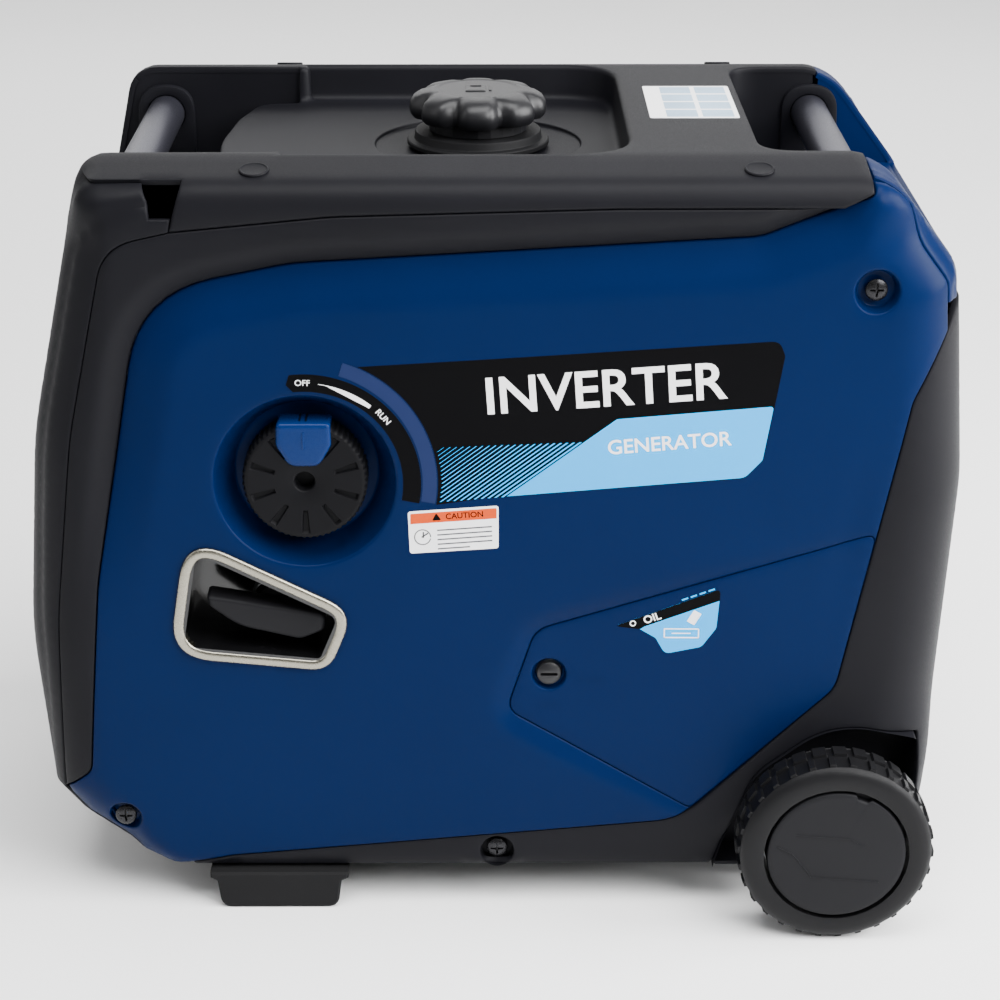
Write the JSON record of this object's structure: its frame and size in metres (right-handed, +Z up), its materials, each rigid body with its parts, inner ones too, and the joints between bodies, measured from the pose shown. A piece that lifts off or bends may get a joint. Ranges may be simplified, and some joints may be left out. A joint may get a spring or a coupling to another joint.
{
  "type": "inverter generator",
  "caption": "Closed-frame wheeled inverter generator with fuel cap, twin carry handles, side engine switch dial, recoil starter and oil service cover.",
  "frame": {"origin": "on the ground under the middle of the machine's outer box", "axes": "+X to the wheel end, -X to the control panel, -Y to the service side with the recoil starter and engine switch, +Z up"},
  "size_m": [0.5892, 0.438, 0.504],
  "materials": {
    "body_blue": "satin deep blue moulded plastic with a fine grain",
    "body_black": "matt black moulded plastic with a fine grain",
    "panel_black": "plain black plastic",
    "cap_black": "black plastic, slightly glossy edges",
    "tank_plastic": "blow-moulded plastic",
    "hub_plastic": "dark grey plastic",
    "battery_plastic": "battery case",
    "display_lens": "smoked display window",
    "rubber": "moulded rubber",
    "tyre": "solid rubber tyre",
    "rope": "braided starter rope",
    "tube_grey": "satin grey painted steel tube",
    "chrome": "bright bezel",
    "steel": "plain steel",
    "screw_black": "black zinc-plated screw",
    "laminated_steel": "electrical steel",
    "cast_alloy": "die-cast aluminium alloy"
  },
  "bodies": {
    "machine": {"base_shell": "body_black", "side_panel_near": "body_blue", "side_panel_far": "body_blue", "arch_trim_near": "body_black", "arch_trim_far": "body_black", "front_cowl": "body_black", "control_panel": "panel_black", "top_cover": "body_black", "rear_cover": "body_blue", "exhaust_grille": "panel_black", "foot_near": "rubber", "foot_far": "rubber", "axle": "steel", "handle_tube_front": "tube_grey", "handle_tube_rear": "tube_grey", "rail_plug_near_front": "body_black", "rail_plug_near_rear": "body_black", "rail_plug_far_front": "body_black", "rail_plug_far_rear": "body_black", "fuel_tank": "tank_plastic", "filler_ring": "panel_black", "switch_body": "panel_black", "recoil_bezel": "chrome", "recoil_cup": "panel_black", "recoil_housing": "panel_black", "screw_rear": "screw_black", "screw_front": "screw_black", "screw_base": "screw_black", "engine_crankcase": "cast_alloy", "engine_cylinder": "cast_alloy", "alternator_stator": "laminated_steel", "muffler": "steel", "air_cleaner": "panel_black", "carburettor": "cast_alloy", "oil_dipstick": "cap_black", "inverter_module": "cast_alloy", "battery": "battery_plastic", "outlet_duplex": "panel_black", "outlet_dc": "panel_black", "display": "display_lens", "ground_terminal": "steel"},
    "wheel_near": {"wheel_tyre_near": "tyre", "wheel_hub_near": "hub_plastic", "hub_cap_near": "hub_plastic"},
    "wheel_far": {"wheel_tyre_far": "tyre", "wheel_hub_far": "hub_plastic", "hub_cap_far": "hub_plastic"},
    "dial": {"switch_dial": "cap_black", "dial_pointer": "body_blue"},
    "grip": {"recoil_grip": "cap_black", "recoil_rope": "rope"},
    "reel": {"recoil_reel": "hub_plastic"},
    "rotor": {"alternator_rotor": "laminated_steel"},
    "oil_door": {"oil_cover": "body_blue"},
    "oil_lock": {"oil_cover_lock": "cap_black"},
    "cap_core": {"fuel_cap_core": "cap_black"},
    "cap_shell": {"fuel_cap": "cap_black"},
    "start": {"start_button": "rubber"},
    "economy": {"economy_switch": "cap_black"},
    "breaker": {"breaker_button": "cap_black"}
  },
  "joints": [
    {"name": "wheel_near_spin", "type": "hinge", "parent": "machine", "child": "wheel_near", "pos_m": [0.217, 0, 0.0625], "axis": [0, 1, 0], "continuous": true},
    {"name": "wheel_far_spin", "type": "hinge", "parent": "machine", "child": "wheel_far", "pos_m": [0.217, 0, 0.0625], "axis": [0, 1, 0], "continuous": true},
    {"name": "switch_turn", "type": "hinge", "parent": "machine", "child": "dial", "pos_m": [-0.115, -0.15, 0.297], "axis": [0, 1, 0], "range_deg": [0, 50]},
    {"name": "recoil_pull", "type": "slide", "parent": "machine", "child": "grip", "axis": [0, -1, 0], "range_m": [0, 0.6], "stiffness_N_per_m": 12, "springref_m": -0.05},
    {"name": "reel_spin", "type": "hinge", "parent": "machine", "child": "reel", "pos_m": [-0.14, 0, 0.15], "axis": [1, 0, 0], "range_deg": [0, 600]},
    {"name": "crankshaft_spin", "type": "hinge", "parent": "machine", "child": "rotor", "pos_m": [0, 0, 0.15], "axis": [1, 0, 0], "continuous": true},
    {"name": "oil_door_off", "type": "slide", "parent": "machine", "child": "oil_door", "axis": [0, -1, 0], "range_m": [0, 0.06]},
    {"name": "oil_lock_turn", "type": "hinge", "parent": "oil_door", "child": "oil_lock", "pos_m": [0.036, -0.166, 0.164], "axis": [0, 1, 0], "range_deg": [0, 90]},
    {"name": "fuel_cap_off", "type": "slide", "parent": "machine", "child": "cap_core", "axis": [0, 0, 1], "range_m": [0, 0.06]},
    {"name": "fuel_cap_turn", "type": "hinge", "parent": "cap_core", "child": "cap_shell", "pos_m": [-0.0085, 0, 0.49], "axis": [0, 0, 1], "continuous": true},
    {"name": "start_press", "type": "slide", "parent": "machine", "child": "start", "axis": [1, 0, 0], "range_m": [0, 0.003], "stiffness_N_per_m": 300, "springref_m": -0.001},
    {"name": "economy_rock", "type": "hinge", "parent": "machine", "child": "economy", "pos_m": [-0.2602, -0.07, 0.27], "axis": [0, 1, 0], "range_deg": [-9, 9]},
    {"name": "breaker_press", "type": "slide", "parent": "machine", "child": "breaker", "axis": [1, 0, 0], "range_m": [0, 0.003], "stiffness_N_per_m": 200, "springref_m": -0.001}
  ],
  "couplings": [
    {"joint": "reel_spin", "follows": "recoil_pull", "rad_per_m": 17.094}
  ]
}
